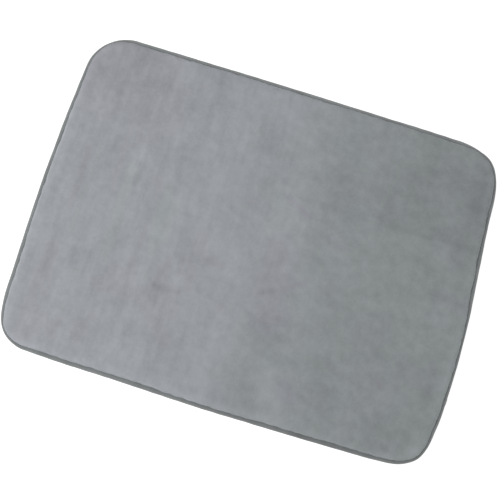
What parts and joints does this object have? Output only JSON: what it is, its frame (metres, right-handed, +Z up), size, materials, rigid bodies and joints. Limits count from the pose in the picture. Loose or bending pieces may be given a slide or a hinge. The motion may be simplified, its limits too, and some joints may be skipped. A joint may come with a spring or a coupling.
{
  "type": "bath mat",
  "caption": "Padded rectangular bath mat with rounded corners: short-pile velour over memory foam, dotted non-slip underside and a narrow sewn edge binding.",
  "frame": {"origin": "on the floor under the middle of the mat's outline", "axes": "+X along the mat's length, +Y across its width towards the back edge, +Z up out of the velour face"},
  "size_m": [0.5999, 0.4499, 0.012],
  "materials": {
    "velour_pile": "matte",
    "memory_foam": "matte",
    "grip_cloth": "matte",
    "grip_rubber": "satin",
    "binding_tape": "matte",
    "sewing_thread": "satin",
    "label_cloth": "satin"
  },
  "bodies": {
    "root": {"top_cover": "velour_pile", "foam_core": "memory_foam", "backing_cloth": "grip_cloth", "grip_dots": "grip_rubber", "edge_binding": "binding_tape", "needle_thread": "sewing_thread", "bobbin_thread": "sewing_thread", "care_label": "label_cloth", "label_thread": "sewing_thread"}
  },
  "joints": []
}
